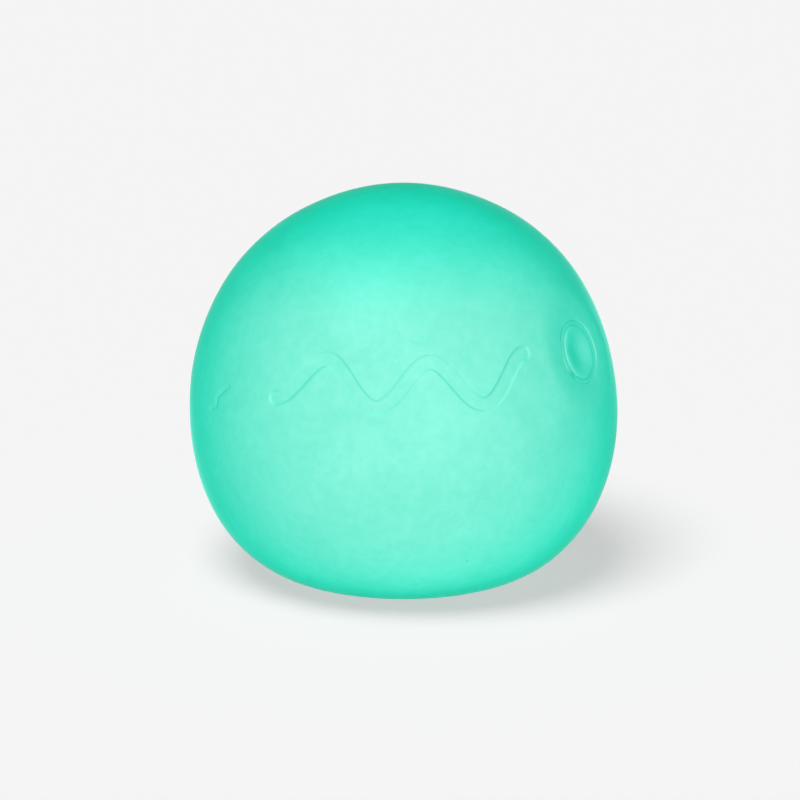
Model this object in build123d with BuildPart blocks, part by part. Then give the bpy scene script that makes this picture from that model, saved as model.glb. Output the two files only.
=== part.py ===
from build123d import *
import math
import os

# Gel-filled squeeze ball, millimetres.
# The ball stands on the plane z = 0 on the flat foot that its own weight presses into it.
# Origin: centre of the foot. +Z up. -Y is the front, where the shallow relief band is.

# ---- driving dimensions ----
BALL_DIAMETER = 64.0      # across the widest girth
BALL_HEIGHT = 57.997       # standing height, a little slumped
FOOT_RADIUS = 17.010      # flat contact patch
WALL = 2.5                # skin thickness
GEL_GAP = 0.1             # drawn clearance between the skin and the gel
SPLIT_Z = 24.0            # height of the widest girth, where the two halves of the skin meet

PLUG_Z = 36.7             # height of the fill hole's centre on the outer surface
PLUG_RADIUS_FROM_AXIS = 29.84
PLUG_TURN = -29.0         # degrees from +X towards +Y
PLUG_TILT = 19.5          # degrees the fill hole's axis rises above level

HOLE_DIAMETER = 5.0       # fill hole through the skin
RECESS_DIAMETER = 9.4     # seat for the plug's head
RECESS_DEPTH = 1.4
HEAD_DIAMETER = 8.0
HEAD_TOP = -0.55          # the head sits a little below the skin's surface
STEM_DIAMETER = 4.9
FLANGE_DIAMETER = 7.2
FLANGE_TOP = -2.9         # just inside the skin's inner face
FLANGE_THICKNESS = 1.0
BEAD_TOP = -0.62

# Outline of the standing ball: (slope of the surface normal in degrees, radius, height).
# It starts at the foot's edge and ends on the axis at the crown.
OUTLINE = [
    (-90, 17.010, 0.000),
    (-84, 17.513, 0.027),
    (-78, 18.152, 0.130),
    (-72, 18.953, 0.347),
    (-66, 19.949, 0.732),
    (-60, 21.184, 1.364),
    (-54, 22.624, 2.303),
    (-48, 24.174, 3.559),
    (-42, 25.649, 5.035),
    (-36, 27.005, 6.712),
    (-30, 28.262, 8.651),
    (-24, 29.411, 10.909),
    (-18, 30.421, 13.548),
    (-12, 31.249, 16.652),
    (-6, 31.802, 20.160),
    (0, 32.000, 23.988),
    (6, 31.789, 28.004),
    (12, 31.159, 31.982),
    (18, 30.136, 35.802),
    (24, 28.764, 39.382),
    (30, 27.145, 42.565),
    (36, 25.356, 45.324),
    (42, 23.393, 47.750),
    (48, 21.269, 49.875),
    (54, 18.946, 51.755),
    (60, 16.227, 53.517),
    (66, 13.062, 55.128),
    (72, 9.722, 56.411),
    (78, 6.366, 57.311),
    (84, 3.082, 57.832),
    (90, 0.000, 57.997),
]


def outline(depth):
    """The outline moved inwards by depth, along its own normals."""
    points = []
    for slope, radius, height in OUTLINE:
        a = math.radians(slope)
        points.append((radius - depth * math.cos(a), height - depth * math.sin(a)))
    points[-1] = (0.0, BALL_HEIGHT - depth)
    return points


def across(points):
    """The same outline carried over the crown and down the other side, so that it crosses the axis level."""
    return points + [(-radius, height) for radius, height in reversed(points[:-1])]


outer = across(outline(0.0))
inner = across(outline(WALL))
gel_edge = across(outline(WALL + GEL_GAP))

turn = math.radians(PLUG_TURN)
tilt = math.radians(PLUG_TILT)
plug_axis = (
    math.cos(turn) * math.cos(tilt),
    math.sin(turn) * math.cos(tilt),
    math.sin(tilt),
)
plug_seat = Plane(
    origin=(
        PLUG_RADIUS_FROM_AXIS * math.cos(turn),
        PLUG_RADIUS_FROM_AXIS * math.sin(turn),
        PLUG_Z,
    ),
    x_dir=(-math.sin(turn), math.cos(turn), 0),
    z_dir=plug_axis,
)

os.makedirs("parts", exist_ok=True)

# ---- skin, lower half: foot and side wall up to the girth ----
with BuildPart() as skin_lower:
    with BuildSketch(Plane.XZ):
        with BuildLine():
            Spline(*outer)
            Line(outer[-1], outer[0])
        make_face()
        with BuildLine():
            Spline(*inner)
            Line(inner[-1], inner[0])
        make_face(mode=Mode.SUBTRACT)
        Rectangle(BALL_DIAMETER, 3 * BALL_HEIGHT, align=(Align.MAX, Align.CENTER), mode=Mode.SUBTRACT)
        with Locations((0, SPLIT_Z)):
            Rectangle(BALL_DIAMETER + 10, BALL_HEIGHT, align=(Align.CENTER, Align.MIN), mode=Mode.SUBTRACT)
    revolve(axis=Axis.Z)
skin_lower.part.label = "skin_lower"
export_step(skin_lower.part, "parts/skin_lower.step")

# ---- skin, upper half: girth to crown, with the stepped fill hole ----
with BuildPart() as skin_upper:
    with BuildSketch(Plane.XZ):
        with BuildLine():
            Spline(*outer)
            Line(outer[-1], outer[0])
        make_face()
        with BuildLine():
            Spline(*inner)
            Line(inner[-1], inner[0])
        make_face(mode=Mode.SUBTRACT)
        Rectangle(BALL_DIAMETER, 3 * BALL_HEIGHT, align=(Align.MAX, Align.CENTER), mode=Mode.SUBTRACT)
        with Locations((0, SPLIT_Z)):
            Rectangle(BALL_DIAMETER + 10, BALL_HEIGHT, align=(Align.CENTER, Align.MAX), mode=Mode.SUBTRACT)
    revolve(axis=Axis.Z)
    # fill hole
    with BuildSketch(plug_seat.offset(-6)):
        Circle(HOLE_DIAMETER / 2)
    extrude(amount=8, mode=Mode.SUBTRACT)
    # seat for the plug's head
    with BuildSketch(plug_seat.offset(-RECESS_DEPTH)):
        Circle(RECESS_DIAMETER / 2)
    extrude(amount=4, mode=Mode.SUBTRACT)
skin_upper.part.label = "skin_upper"
export_step(skin_upper.part, "parts/skin_upper.step")

# ---- gel: one soft mass that fills the skin, hollowed where the plug's flange stands in it ----
with BuildPart() as gel_filling:
    with BuildSketch(Plane.XZ):
        with BuildLine():
            Spline(*gel_edge)
            Line(gel_edge[-1], gel_edge[0])
        make_face()
        Rectangle(BALL_DIAMETER, 3 * BALL_HEIGHT, align=(Align.MAX, Align.CENTER), mode=Mode.SUBTRACT)
    revolve(axis=Axis.Z)
    with BuildSketch(plug_seat.offset(FLANGE_TOP - FLANGE_THICKNESS - 0.1)):
        Circle(FLANGE_DIAMETER / 2 + 0.1)
    extrude(amount=5, mode=Mode.SUBTRACT)
gel_filling.part.label = "gel_filling"
export_step(gel_filling.part, "parts/gel_filling.step")

# ---- fill plug: head in the seat, stem through the hole, flange that holds it from inside ----
with BuildPart() as fill_plug:
    with BuildSketch(plug_seat.offset(-RECESS_DEPTH)):
        Circle(HEAD_DIAMETER / 2)
    extrude(amount=RECESS_DEPTH + HEAD_TOP)
    with BuildSketch(plug_seat.offset(FLANGE_TOP)):
        Circle(STEM_DIAMETER / 2)
    extrude(amount=-FLANGE_TOP - RECESS_DEPTH)
    with BuildSketch(plug_seat.offset(FLANGE_TOP - FLANGE_THICKNESS)):
        Circle(FLANGE_DIAMETER / 2)
    extrude(amount=FLANGE_THICKNESS)
    rim = fill_plug.edges().filter_by(GeomType.CIRCLE).filter_by(lambda e: abs(e.radius - HEAD_DIAMETER / 2) < 0.01)
    chamfer(rim.sort_by(lambda e: (e.arc_center - plug_seat.origin).dot(plug_seat.z_dir))[-1], 0.2)
fill_plug.part.label = "fill_plug"
export_step(fill_plug.part, "parts/fill_plug.step")

# ---- sealing bead: ring of cured adhesive between the plug's head and the seat's wall ----
with BuildPart() as plug_sealant:
    with BuildSketch(plug_seat.offset(-RECESS_DEPTH)):
        Circle(RECESS_DIAMETER / 2)
        Circle(HEAD_DIAMETER / 2, mode=Mode.SUBTRACT)
    extrude(amount=RECESS_DEPTH + BEAD_TOP)
plug_sealant.part.label = "plug_sealant"
export_step(plug_sealant.part, "parts/plug_sealant.step")
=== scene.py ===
import bpy
import math
import numpy as np
from mathutils import Vector, Matrix


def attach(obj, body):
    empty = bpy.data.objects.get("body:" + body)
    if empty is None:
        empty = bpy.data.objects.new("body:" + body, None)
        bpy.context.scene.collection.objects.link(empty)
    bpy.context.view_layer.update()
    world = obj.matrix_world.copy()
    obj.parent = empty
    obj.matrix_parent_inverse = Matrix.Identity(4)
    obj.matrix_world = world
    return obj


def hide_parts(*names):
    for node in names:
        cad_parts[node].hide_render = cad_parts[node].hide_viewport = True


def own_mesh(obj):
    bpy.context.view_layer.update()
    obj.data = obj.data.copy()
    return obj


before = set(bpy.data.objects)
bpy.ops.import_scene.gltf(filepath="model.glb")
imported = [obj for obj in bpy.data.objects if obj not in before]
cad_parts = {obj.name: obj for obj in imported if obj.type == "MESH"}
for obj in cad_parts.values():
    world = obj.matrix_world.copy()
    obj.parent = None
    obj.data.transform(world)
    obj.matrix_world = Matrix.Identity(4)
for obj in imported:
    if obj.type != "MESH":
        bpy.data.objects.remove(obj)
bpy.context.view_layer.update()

MM = 0.001

# ------------------------------------------------------------------ shape tables
# Outline of the standing ball, as in the CAD model: slope of the normal in degrees, radius, height (mm).
OUTLINE = np.array([
    (-90, 17.010, 0.000), (-84, 17.513, 0.027), (-78, 18.152, 0.130), (-72, 18.953, 0.347),
    (-66, 19.949, 0.732), (-60, 21.184, 1.364), (-54, 22.624, 2.303), (-48, 24.174, 3.559),
    (-42, 25.649, 5.035), (-36, 27.005, 6.712), (-30, 28.262, 8.651), (-24, 29.411, 10.909),
    (-18, 30.421, 13.548), (-12, 31.249, 16.652), (-6, 31.802, 20.160), (0, 32.000, 23.988),
    (6, 31.789, 28.004), (12, 31.159, 31.982), (18, 30.136, 35.802), (24, 28.764, 39.382),
    (30, 27.145, 42.565), (36, 25.356, 45.324), (42, 23.393, 47.750), (48, 21.269, 49.875),
    (54, 18.946, 51.755), (60, 16.227, 53.517), (66, 13.062, 55.128), (72, 9.722, 56.411),
    (78, 6.366, 57.311), (84, 3.082, 57.832), (90, 0.000, 57.997),
])
GIRTH_Z = 23.988
WALL = 2.5
GEL_GAP = 0.1
CENTRE_Z = 26.13            # the fill hole's axis crosses the ball's axis here
PLUG_TURN, PLUG_TILT = math.radians(-29.0), math.radians(19.5)
PLUG_R, PLUG_Z = 29.84, 36.7
HOLE_R, RECESS_R, RECESS_DEPTH = 2.5, 4.7, 1.4
HEAD_R, HEAD_TOP, STEM_R = 4.0, -0.55, 2.45
FLANGE_R, FLANGE_TOP, FLANGE_T = 3.6, -2.9, 1.0
GAP_AT = 216.0              # where the sealing bead runs thin, degrees round the plug

axis_n = np.array([math.cos(PLUG_TURN) * math.cos(PLUG_TILT), math.sin(PLUG_TURN) * math.cos(PLUG_TILT), math.sin(PLUG_TILT)])
axis_u = np.array([-math.sin(PLUG_TURN), math.cos(PLUG_TURN), 0.0])      # level, to the plug's right
axis_v = np.cross(axis_n, axis_u)                                          # up along the wall
plug_at = np.array([PLUG_R * math.cos(PLUG_TURN), PLUG_R * math.sin(PLUG_TURN), PLUG_Z])
centre = np.array([0.0, 0.0, CENTRE_Z])


def spline(x, y, at):
    """Natural cubic spline through the points (x, y), evaluated at the values in at."""
    n, h = len(x), np.diff(x)
    a, b = np.zeros((n, n)), np.zeros(n)
    a[0, 0] = a[-1, -1] = 1
    for i in range(1, n - 1):
        a[i, i - 1], a[i, i], a[i, i + 1] = h[i - 1], 2 * (h[i - 1] + h[i]), h[i]
        b[i] = 6 * ((y[i + 1] - y[i]) / h[i] - (y[i] - y[i - 1]) / h[i - 1])
    m = np.linalg.solve(a, b)
    k = np.clip(np.searchsorted(x, at) - 1, 0, n - 2)
    d, e = at - x[k], x[k + 1] - at
    return (m[k] * e**3 + m[k + 1] * d**3) / (6 * h[k]) + (y[k] / h[k] - m[k] * h[k] / 6) * e + (y[k + 1] / h[k] - m[k + 1] * h[k] / 6) * d


def reach_table(depth, centre_z=CENTRE_Z):
    """Elevation seen from the centre, and the distance to the outline moved inwards by depth, both as tables."""
    s = np.linspace(-90, 90, 1441)
    r = spline(OUTLINE[:, 0], OUTLINE[:, 1], s) - depth * np.cos(np.radians(s))
    z = spline(OUTLINE[:, 0], OUTLINE[:, 2], s) - depth * np.sin(np.radians(s))
    r[-1] = 0.0
    flat = np.linspace(0, r[0], 120, endpoint=False)
    r, z = np.concatenate([flat, r]), np.concatenate([np.full(120, z[0]), z])
    return np.arctan2(z - centre_z, r), np.hypot(r, z - centre_z)


def on_outline(directions, table):
    """Points of the table's outline in these unit directions from the centre."""
    e = np.arcsin(np.clip(directions[:, 2], -1, 1))
    return centre + directions * np.interp(e, *table)[:, None]


def value_noise(p, seed):
    """Smooth noise from -1 to 1 at the points p, one wave per unit, from a hashed lattice."""
    i = np.floor(p).astype(np.int64)
    f = p - i
    f = f * f * (3 - 2 * f)
    out = np.zeros(len(p))
    for dx in (0, 1):
        for dy in (0, 1):
            for dz in (0, 1):
                h = ((i[:, 0] + dx) * 374761393 + (i[:, 1] + dy) * 668265263 + (i[:, 2] + dz) * 2147483647 + seed * 1274126177) & 0xFFFFFFFF
                h = ((h ^ (h >> 13)) * 1274126177) & 0xFFFFFFFF
                h = (h ^ (h >> 16)) & 0xFFFFFFFF
                w = np.where(dx, f[:, 0], 1 - f[:, 0]) * np.where(dy, f[:, 1], 1 - f[:, 1]) * np.where(dz, f[:, 2], 1 - f[:, 2])
                out += w * (h / 2147483647.5 - 1)
    return out


def smooth(x, lo, hi):
    t = np.clip((x - lo) / (hi - lo), 0, 1)
    return t * t * (3 - 2 * t)


def make(name, rings, closed_start=None, closed_end=None, smooth_shade=True):
    """A closed mesh from rings of points (each n x 3, mm), capped by a point at either end."""
    n = len(rings[0])
    verts = [np.asarray(r, float) for r in rings]
    count = sum(len(r) for r in verts)
    faces = []
    for k in range(len(rings) - 1):
        a, b = k * n, (k + 1) * n
        i = np.arange(n)
        j = (i + 1) % n
        faces.append(np.stack([a + i, a + j, b + j, b + i], 1))
    faces = [tuple(int(x) for x in f) for block in faces for f in block]
    points = list(np.concatenate(verts))
    if closed_start is not None:
        points.append(np.asarray(closed_start, float))
        faces += [(count, (i + 1) % n, i) for i in range(n)]
        count += 1
    if closed_end is not None:
        points.append(np.asarray(closed_end, float))
        base = (len(rings) - 1) * n
        faces += [(count, base + i, base + (i + 1) % n) for i in range(n)]
    mesh = bpy.data.meshes.new(name)
    mesh.from_pydata([tuple(p * MM) for p in points], [], faces)
    mesh.validate()
    if smooth_shade:
        mesh.polygons.foreach_set("use_smooth", [True] * len(mesh.polygons))
    mesh.update()
    ob = bpy.data.objects.new(name, mesh)
    bpy.context.scene.collection.objects.link(ob)
    return ob


# ------------------------------------------------------------------ relief on the skin
BAND_Z = 35.6
WAVE_HALF = 19.0            # half length of the wave along the front, mm
WAVE_AMP = 3.2
WAVE_PERIODS = 2.5
STROKE = 1.0                # half width of the groove


def wave_points():
    t = np.linspace(-1, 1, 700)
    return np.stack([t * WAVE_HALF, WAVE_AMP * np.sin(t * math.pi * WAVE_PERIODS)], 1)


CREASES = [
    (np.array([(-1.0, 41.0), (-0.4, 41.5), (0.3, 41.8), (1.0, 41.8), (1.7, 41.4), (2.3, 41.3), (3.2, 41.8)]), 0.12, 0.26),
    (np.array([(-28.7, 32.3), (-30.6, 30.7), (-31.2, 30.0), (-31.1, 28.9), (-32.7, 28.1)]), 0.13, 0.30),
    (np.array([(-39.9, 30.6), (-40.2, 29.9), (-39.9, 29.2)]), 0.12, 0.24),
    (np.array([(-19.2, 2.9), (-18.2, 3.3), (-17.4, 3.1)]), 0.10, 0.26),
]


def relief(points):
    """How far each point of the outer surface moves outwards, in mm."""
    x, y, z = points[:, 0], points[:, 1], points[:, 2]
    move = np.zeros(len(points))
    # the sunken wave line on the front: arc length round the ball against height along the wall
    turn = np.arctan2(x, -y)
    across = turn * 30.2
    up = (z - BAND_Z) * 1.05
    near = np.where((np.abs(across) < WAVE_HALF + 4) & (np.abs(up) < WAVE_AMP + 4))[0]
    if len(near):
        line = wave_points()
        q = np.stack([across[near], up[near]], 1)
        d = np.full(len(near), 99.0)
        for k in range(0, len(line), 100):
            part = line[k : k + 101]
            d = np.minimum(d, np.sqrt(((q[:, None, :] - part[None]) ** 2).sum(2)).min(1))
        groove = 1 - smooth(d, STROKE - 0.16, STROKE + 0.16)
        move[near] -= 0.22 * groove
    # faint moulding creases: a squiggle above the wave, a hook on the left, a nick low on the front left
    for line, depth, width in CREASES:
        near = np.where((np.abs(across - line[:, 0].mean()) < 6) & (np.abs(z - line[:, 1].mean()) < 5) & (y < 12))[0]
        if len(near):
            q = np.stack([across[near], z[near]], 1)
            a, b = line[:-1], line[1:]
            ab = b - a
            t = np.clip(((q[:, None] - a) * ab).sum(2) / (ab**2).sum(1), 0, 1)
            d = np.sqrt(((q[:, None] - a - t[..., None] * ab) ** 2).sum(2)).min(1)
            move[near] -= depth * np.exp(-((d / width) ** 2))
    # the shallow dimple that the plug's head sits in
    rel = points - plug_at
    w = rel @ axis_n
    s = np.sqrt(np.maximum((rel**2).sum(1) - w**2, 0))
    move += -0.95 * np.exp(-((s / 5.6) ** 2.6)) * (w > -8)
    move += 0.10 * np.exp(-(((s - 8.6) / 1.6) ** 2)) * (w > -8)
    # the soft skin is never quite even, except where it rests
    calm = smooth(z, 0.3, 4.0)
    move += 0.10 * calm * value_noise(points / 17.0, 3) + 0.035 * calm * value_noise(points / 6.0, 9)
    return move


# ------------------------------------------------------------------ skin: one closed shell with a stepped hole
def spread(stops):
    """Values from a list of (from, to, step), end to end."""
    out = []
    for a, b, step in stops:
        n = max(1, int(round(abs(b - a) / step)))
        out += list(np.linspace(a, b, n, endpoint=False))
    return out + [stops[-1][1]]


# the fan of directions round the plug: finer towards the front, where the relief is
front_dir = np.array([0.0, -1.0, 0.0])
front_angle = math.degrees(math.atan2(front_dir @ axis_v, front_dir @ axis_u))
turns, heights = np.meshgrid(np.radians(np.linspace(-41, 41, 83)), np.linspace(30.0, 43.0, 26))
radii = spline(OUTLINE[15:, 2], OUTLINE[15:, 1], heights.ravel())
band = np.stack([radii * np.sin(turns.ravel()), -radii * np.cos(turns.ravel()), heights.ravel()], 1) - centre
band /= np.linalg.norm(band, axis=1)[:, None]
band = band[band @ axis_n < math.cos(math.radians(20))]
offsets = (np.degrees(np.arctan2(band @ axis_v, band @ axis_u)) - front_angle + 180) % 360 - 180
near_edge, far_edge = front_angle + offsets.min() - 1, front_angle + offsets.max() + 1
fan = spread([(near_edge, far_edge, 0.27), (far_edge, near_edge + 360, 1.3)])[:-1]
fan = np.radians(np.array(fan))
fan_xyz = np.cos(fan)[:, None] * axis_u + np.sin(fan)[:, None] * axis_v

OUT, IN = reach_table(0.0), reach_table(WALL)


def outer_ring(polar):
    d = math.cos(polar) * axis_n + math.sin(polar) * fan_xyz
    d /= np.linalg.norm(d, axis=1)[:, None]
    p = on_outline(d, OUT)
    # outward normal of the outline there, by finite differences of the table
    eps = 1e-4
    e = np.arcsin(np.clip(d[:, 2], -1, 1))
    reach = np.interp(e, *OUT)
    slope = (np.interp(e + eps, *OUT) - np.interp(e - eps, *OUT)) / (2 * eps)
    up = np.stack([-np.sin(e) * d[:, 0] / np.maximum(np.cos(e), 1e-6), -np.sin(e) * d[:, 1] / np.maximum(np.cos(e), 1e-6), np.cos(e)], 1)
    n = d * reach[:, None] - up * slope[:, None]
    n /= np.linalg.norm(n, axis=1)[:, None]
    return p + n * relief(p)[:, None]


def local_ring(radius, height):
    """A ring round the plug's axis, in the plug's own frame."""
    return plug_at + radius * fan_xyz + height * axis_n


reach_p = 31.65  # distance from the centre to the plug's place
edge = math.atan2(RECESS_R + 0.35, reach_p)
rings = []
steps = spread([(179.2, 124, 1.1), (124, 102, 0.34), (102, 20, 0.26), (20, math.degrees(edge), 0.45)])
for a in steps:
    rings.append(outer_ring(math.radians(a)))
rim = rings[-1]
rim_h = ((rim - plug_at) @ axis_n)
# rounded lip, recess wall, recess floor, hole
for t in (0.25, 0.5, 0.75, 1.0):
    a = t * math.pi / 2
    rings.append(plug_at + (RECESS_R + 0.35 * (1 - math.sin(a))) * fan_xyz + (rim_h - 0.04 * (1 - math.cos(a)))[:, None] * axis_n)
rings.append(local_ring(RECESS_R, -RECESS_DEPTH + 0.12))
rings.append(local_ring(RECESS_R - 0.12, -RECESS_DEPTH))
for r in (4.0, 3.4, 2.8, HOLE_R + 0.1):
    rings.append(local_ring(r, -RECESS_DEPTH))
rings.append(local_ring(HOLE_R, -RECESS_DEPTH - 0.1))
rings.append(local_ring(HOLE_R, -2.3))


def inner_ring(polar):
    d = math.cos(polar) * axis_n + math.sin(polar) * fan_xyz
    d /= np.linalg.norm(d, axis=1)[:, None]
    return on_outline(d, IN)


for a in spread([(math.degrees(math.atan2(HOLE_R + 0.05, reach_p - WALL)), 20, 1.2), (20, 179.0, 2.2)]):
    rings.append(inner_ring(math.radians(a)))
antipode_out = on_outline(-axis_n[None], OUT)[0] + (-axis_n) * relief(on_outline(-axis_n[None], OUT))[0]
antipode_in = on_outline(-axis_n[None], IN)[0]
skin = make("skin", rings, antipode_out, antipode_in)

# ------------------------------------------------------------------ gel: fills the skin, pocket for the plug's flange
GEL = reach_table(WALL + GEL_GAP)


def shell_ring(polar, table, share):
    """A ring of the table's outline, with a share of the skin's relief pressed through to it."""
    d = math.cos(polar) * axis_n + math.sin(polar) * fan_xyz
    d /= np.linalg.norm(d, axis=1)[:, None]
    p = on_outline(d, table)
    return p + d * (share * np.minimum(relief(on_outline(d, OUT)), 0.05))[:, None]


pocket_r = FLANGE_R + 0.1
pocket_edge = math.degrees(math.atan2(pocket_r + 0.2, reach_p - WALL))
g = [shell_ring(math.radians(a), GEL, 0.8) for a in spread([(178.5, 112, 1.8), (112, 100, 0.9), (100, 26, 0.7), (26, pocket_edge, 0.9)])]
rim_g = (g[-1] - plug_at) @ axis_n
g.append(plug_at + pocket_r * fan_xyz + (rim_g - 0.2)[:, None] * axis_n)
g.append(plug_at + pocket_r * fan_xyz + (FLANGE_TOP - FLANGE_T) * axis_n)
g.append(plug_at + (pocket_r - 0.2) * fan_xyz + (FLANGE_TOP - FLANGE_T - 0.12) * axis_n)
g.append(plug_at + 1.5 * fan_xyz + (FLANGE_TOP - FLANGE_T - 0.12) * axis_n)
gel = make("gel_filling", g, on_outline(-axis_n[None], GEL)[0], plug_at + (FLANGE_TOP - FLANGE_T - 0.12) * axis_n)

# ------------------------------------------------------------------ fill plug and its sealing bead
pf = np.radians(np.arange(0, 360, 2.0))
p_xyz = np.cos(pf)[:, None] * axis_u + np.sin(pf)[:, None] * axis_v


def plug_ring(r, h, wobble=0.0, lift=0.0, seed=1):
    p = plug_at + r * p_xyz + h * axis_n
    if wobble or lift:
        k = value_noise(np.stack([np.cos(pf) * 3.1 + 5, np.sin(pf) * 3.1 + 5, np.full(len(pf), seed * 1.7)], 1), seed)
        p = plug_at + (r + wobble * k)[:, None] * p_xyz + (h + lift * k)[:, None] * axis_n
    return p


prof = []
# head: nearly flat, a little dished
prof += [(r, HEAD_TOP - 0.16 - 0.46 * (1 - (r / 3.5) ** 2) ** 2) for r in (0.5, 1.0, 1.5, 2.0, 2.5, 3.0, 3.3)]
prof += [(3.5 + 0.5 * math.sin(a), HEAD_TOP - 0.16 - 0.19 * (1 - math.cos(a))) for a in np.linspace(0.3, math.pi / 2, 5)]
prof += [(HEAD_R, -RECESS_DEPTH + 0.05), (HEAD_R - 0.05, -RECESS_DEPTH + 0.01), (STEM_R + 0.15, -RECESS_DEPTH + 0.01), (STEM_R, -RECESS_DEPTH - 0.15), (STEM_R, FLANGE_TOP + 0.1)]
prof += [(STEM_R + 0.1, FLANGE_TOP), (FLANGE_R - 0.25, FLANGE_TOP)]
prof += [(FLANGE_R - 0.25 + 0.25 * math.sin(a), FLANGE_TOP - 0.5 + 0.5 * math.cos(a)) for a in np.linspace(0.4, math.pi - 0.4, 6)]
prof += [(FLANGE_R - 0.3, FLANGE_TOP - FLANGE_T), (1.5, FLANGE_TOP - FLANGE_T)]
plug = make("fill_plug", [plug_ring(r, h) for r, h in prof], plug_at + (HEAD_TOP - 0.62) * axis_n, plug_at + (FLANGE_TOP - FLANGE_T) * axis_n)

bead_prof = [(4.02, -1.35), (4.0, -0.92)]
bead_prof += [(4.345 - 0.35 * math.cos(a), -0.905 + 0.045 * math.sin(a)) for a in np.linspace(0.2, math.pi - 0.2, 9)]
bead_prof += [(4.68, -0.95), (4.66, -1.35)]
# the bead runs thin in one place, low on the side towards the front, and leaves a short gap beside the head
gap = np.exp(-((((np.degrees(pf) - GAP_AT + 180) % 360 - 180) / 9.0) ** 2))
bead_rings = []
for r, h in bead_prof:
    p = plug_ring(r, h, 0.0, 0.0 if h < -0.92 else 0.02, 4)
    if h > -0.92:
        share = (4.7 - r) / 0.7
        p = p + (0.28 * share * gap)[:, None] * p_xyz - (0.22 * share * gap)[:, None] * axis_n
    bead_rings.append(p)
bead = make("plug_sealant", bead_rings)
# close the ring's underside
bm_mesh = bead.data
n = len(pf)
verts = [tuple(v.co) for v in bm_mesh.vertices]
faces = [tuple(p.vertices) for p in bm_mesh.polygons]
last = (len(bead_prof) - 1) * n
faces += [(last + i, last + (i + 1) % n, (i + 1) % n, i) for i in range(n)]
new = bpy.data.meshes.new("plug_sealant")
new.from_pydata(verts, [], faces)
new.polygons.foreach_set("use_smooth", [True] * len(new.polygons))
new.update()
bead.data = new

for ob in (skin, gel, plug, bead):
    bpy.context.view_layer.objects.active = ob
    # outward normals all over
    import bmesh
    bm = bmesh.new()
    bm.from_mesh(ob.data)
    bmesh.ops.recalc_face_normals(bm, faces=bm.faces)
    bm.to_mesh(ob.data)
    bm.free()
    ob.data.polygons.foreach_set("use_smooth", [True] * len(ob.data.polygons))
    ob.data.update()


# ------------------------------------------------------------------ materials
def material(name):
    m = bpy.data.materials.new(name)
    m.use_nodes = True
    nt = m.node_tree
    nt.nodes.clear()
    out = nt.nodes.new("ShaderNodeOutputMaterial")
    b = nt.nodes.new("ShaderNodeBsdfPrincipled")
    nt.links.new(b.outputs[0], out.inputs["Surface"])
    return m, nt, b, out


def noise(nt, scale, detail=2.0, rough=0.5, dist=0.0):
    n = nt.nodes.new("ShaderNodeTexNoise")
    n.inputs["Scale"].default_value = scale
    n.inputs["Detail"].default_value = detail
    n.inputs["Roughness"].default_value = rough
    n.inputs["Distortion"].default_value = dist
    nt.links.new(coords(nt), n.inputs["Vector"])
    return n.outputs["Fac"]


def coords(nt):
    for n in nt.nodes:
        if n.type == "TEX_COORD":
            return n.outputs["Object"]
    return nt.nodes.new("ShaderNodeTexCoord").outputs["Object"]


def remap(nt, value, a, b, c, d, kind="LINEAR"):
    n = nt.nodes.new("ShaderNodeMapRange")
    n.interpolation_type = kind
    for k, v in zip(("From Min", "From Max", "To Min", "To Max"), (a, b, c, d)):
        n.inputs[k].default_value = v
    nt.links.new(value, n.inputs["Value"])
    return n.outputs["Result"]


def maths(nt, op, a, b=None):
    n = nt.nodes.new("ShaderNodeMath")
    n.operation = op
    for i, x in enumerate((a, b)):
        if x is None:
            continue
        if isinstance(x, (int, float)):
            n.inputs[i].default_value = x
        else:
            nt.links.new(x, n.inputs[i])
    return n.outputs[0]


def mix(nt, fac, a, b, kind="MIX"):
    n = nt.nodes.new("ShaderNodeMix")
    n.data_type = "RGBA"
    n.blend_type = kind
    ins = [s for s in n.inputs if s.type == "RGBA"]
    for s, x in zip(ins, (a, b)):
        if isinstance(x, tuple):
            s.default_value = (*x, 1)
        else:
            nt.links.new(x, s)
    if isinstance(fac, (int, float)):
        n.inputs[0].default_value = fac
    else:
        nt.links.new(fac, n.inputs[0])
    return [s for s in n.outputs if s.type == "RGBA"][0]


def bump(nt, height, distance, strength, after=None):
    n = nt.nodes.new("ShaderNodeBump")
    n.inputs["Distance"].default_value = distance
    n.inputs["Strength"].default_value = strength
    nt.links.new(height, n.inputs["Height"])
    if after is not None:
        nt.links.new(after, n.inputs["Normal"])
    return n.outputs[0]


def absorb(nt, out, colour, density):
    v = nt.nodes.new("ShaderNodeVolumeAbsorption")
    v.inputs["Color"].default_value = (*colour, 1)
    v.inputs["Density"].default_value = density
    nt.links.new(v.outputs[0], out.inputs["Volume"])


def spots(nt, scale, size):
    """1 inside small scattered spots, 0 elsewhere; size in metres."""
    v = nt.nodes.new("ShaderNodeTexVoronoi")
    v.inputs["Scale"].default_value = scale
    nt.links.new(coords(nt), v.inputs["Vector"])
    return remap(nt, v.outputs["Distance"], 0.4 * size * scale, size * scale, 1.0, 0.0, "SMOOTHSTEP")


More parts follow.
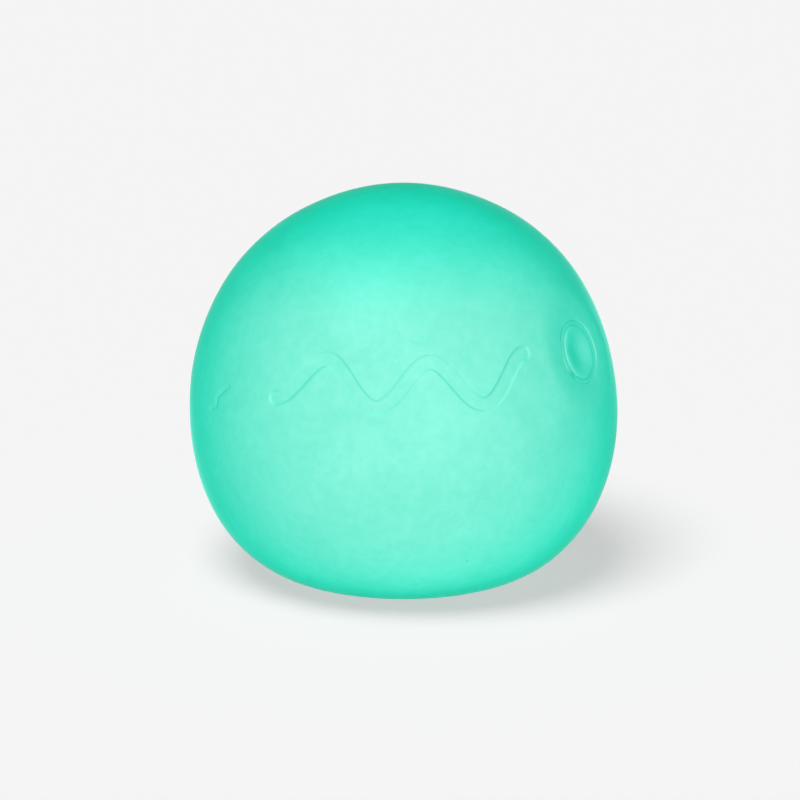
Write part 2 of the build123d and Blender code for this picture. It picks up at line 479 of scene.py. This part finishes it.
# matte mint rubber whose colour deepens where it is seen edge-on, powdery and mottled, with painted shade that
# deepens the colour towards the top
def rubber(name, low, high, smooth_side, rough_side):
    m, nt, b, out = material(name)
    blotch = noise(nt, 140.0, 4.0, 0.6, 0.4)
    powder = noise(nt, 620.0, 3.0, 0.65, 0.3)
    fine = noise(nt, 1600.0, 3.0, 0.6)
    base = mix(nt, remap(nt, blotch, 0.3, 0.7, 0.0, 1.0), low, high)
    base = mix(nt, remap(nt, powder, 0.35, 0.65, 0.0, 1.0), base, mix(nt, 1.0, base, (1.16, 1.03, 1.05), "MULTIPLY"))
    split = nt.nodes.new("ShaderNodeSeparateXYZ")
    nt.links.new(coords(nt), split.inputs[0])
    # painted shade: the colour loses red towards the top of the ball, standing in for the deeper tone that light
    # gives the top, not a colour of the rubber
    painted_crown_shade = remap(nt, split.outputs["Z"], 0.042, 0.0575, 0.0, 1.0, "SMOOTHSTEP")
    base = mix(nt, painted_crown_shade, base, mix(nt, 1.0, base, (0.28, 1.0, 0.97), "MULTIPLY"))
    base = mix(nt, maths(nt, "MULTIPLY", spots(nt, 163.0, 0.00022), 0.7), base, (0.95, 1.0, 0.97))
    base = mix(nt, maths(nt, "MULTIPLY", spots(nt, 127.0, 0.00020), 0.6), base, (0.25, 0.50, 0.42))
    nt.links.new(base, b.inputs["Base Color"])
    nt.links.new(remap(nt, blotch, 0.3, 0.7, smooth_side, rough_side), b.inputs["Roughness"])
    b.inputs["Coat Weight"].default_value = 1.0
    b.inputs["Coat IOR"].default_value = 1.016
    b.inputs["Coat Roughness"].default_value = 0.4
    b.inputs["Coat Tint"].default_value = (0.335, 0.955, 0.89, 1)
    b.inputs["Sheen Weight"].default_value = 1.0
    b.inputs["Sheen Roughness"].default_value = 0.22
    b.inputs["Sheen Tint"].default_value = (0.32, 0.96, 0.86, 1)
    nt.links.new(bump(nt, fine, 0.00003, 0.6, bump(nt, powder, 0.00005, 0.4)), b.inputs["Normal"])
    return m


skin_mat = rubber("skin_rubber", (0.62, 0.905, 0.735), (0.73, 0.95, 0.79), 0.38, 0.54)

# gel: cloudy, nearly white
m, nt, b, out = material("gel_milk")
cloud = noise(nt, 70.0, 3.0, 0.5, 0.6)
nt.links.new(mix(nt, remap(nt, cloud, 0.3, 0.7, 0.0, 1.0), (0.76, 0.96, 0.87), (0.86, 0.98, 0.92)), b.inputs["Base Color"])
nt.links.new(remap(nt, cloud, 0.3, 0.7, 0.22, 0.34), b.inputs["Roughness"])
b.inputs["Subsurface Weight"].default_value = 1.0
b.inputs["Subsurface Radius"].default_value = (1.0, 1.0, 1.0)
b.inputs["Subsurface Scale"].default_value = 0.008
gel_mat = m

plug_mat = rubber("plug_rubber", (0.56, 0.905, 0.735), (0.66, 0.945, 0.785), 0.44, 0.54)
bead_mat = rubber("sealant", (0.57, 0.91, 0.74), (0.67, 0.95, 0.79), 0.32, 0.42)

for ob, mat in ((skin, skin_mat), (gel, gel_mat), (plug, plug_mat), (bead, bead_mat)):
    ob.data.materials.clear()
    ob.data.materials.append(mat)

# ------------------------------------------------------------------ what each piece stands for and rides on
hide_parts("skin_lower", "skin_upper")
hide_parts("gel_filling")
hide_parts("fill_plug")
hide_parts("plug_sealant")

for ob in (skin, gel):
    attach(ob, "lower_half")
    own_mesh(ob)
for ob in (plug, bead):
    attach(ob, "upper_half")
    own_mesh(ob)

# ------------------------------------------------------------------ stage, light, camera
floor_mesh = bpy.data.meshes.new("floor")
S = 6.0
floor_mesh.from_pydata([(-S, -S, 0), (S, -S, 0), (S, S, 0), (-S, S, 0)], [], [(0, 1, 2, 3)])
floor = bpy.data.objects.new("floor", floor_mesh)
bpy.context.scene.collection.objects.link(floor)
m, nt, b, out = material("floor_paper")
b.inputs["Base Color"].default_value = (0.15, 0.15, 0.15, 1)
b.inputs["Roughness"].default_value = 1.0
b.inputs["Specular IOR Level"].default_value = 0.0
floor_mesh.materials.append(m)

world = bpy.data.worlds.new("world")
world.use_nodes = True
bg = world.node_tree.nodes["Background"]
bg.inputs[0].default_value = (1, 1, 1, 1)
bg.inputs[1].default_value = 0.30
bpy.context.scene.world = world


def sun(name, direction, strength, angle):
    light = bpy.data.lights.new(name, "SUN")
    light.energy = strength
    light.angle = math.radians(angle)
    ob = bpy.data.objects.new(name, light)
    ob.rotation_mode = "QUATERNION"
    ob.rotation_quaternion = Vector(direction).to_track_quat("Z", "Y")
    bpy.context.scene.collection.objects.link(ob)
    return ob


# three soft lights for the ball, two for the paper it stands on
key = sun("key", (-0.26, -0.32, 0.90), 1.50, 34)
fill = sun("front_fill", (0.34, -0.92, 0.16), 0.90, 60)
under = sun("table_light", (0.30, -0.50, -0.80), 0.10, 80)
paper = sun("paper_light", (-0.22, -0.30, 0.93), 7.3, 33)
wash = sun("paper_wash", (0.0, 0.0, 1.0), 11.3, 60)


def group(name, *obs):
    c = bpy.data.collections.new(name)
    for ob in obs:
        c.objects.link(ob)
    return c


on_paper, on_ball = group("paper_only", floor), group("ball_only", skin, gel, plug, bead)
for light, lit, shaded_by in ((paper, on_paper, on_ball), (wash, on_paper, on_paper), (key, on_ball, on_ball), (fill, on_ball, on_ball), (under, on_ball, on_ball)):
    light.light_linking.receiver_collection = lit
    light.light_linking.blocker_collection = shaded_by

cam_data = bpy.data.cameras.new("camera")
cam_data.lens = 150
cam_data.sensor_width = 36
cam = bpy.data.objects.new("camera", cam_data)
bpy.context.scene.collection.objects.link(cam)
EL = math.radians(15.0)
PX = 0.1497 * MM
dist = PX * 800 / 36 * 150
target = Vector((-3.4 * PX, 0.0, 164.1 * PX / math.cos(EL)))
back = Vector((0, -math.cos(EL), math.sin(EL)))
cam.location = target + back * dist
cam.rotation_mode = "QUATERNION"
cam.rotation_quaternion = (-back).to_track_quat("-Z", "Y")
cam_data.clip_start, cam_data.clip_end = 0.01, 50
bpy.context.scene.camera = cam

scene = bpy.context.scene
scene.view_settings.view_transform = "Standard"
scene.view_settings.look = "None"
scene.view_settings.exposure = 0.0
scene.view_settings.gamma = 1.0
scene.cycles.transparent_max_bounces = 32
scene.cycles.max_bounces = 16
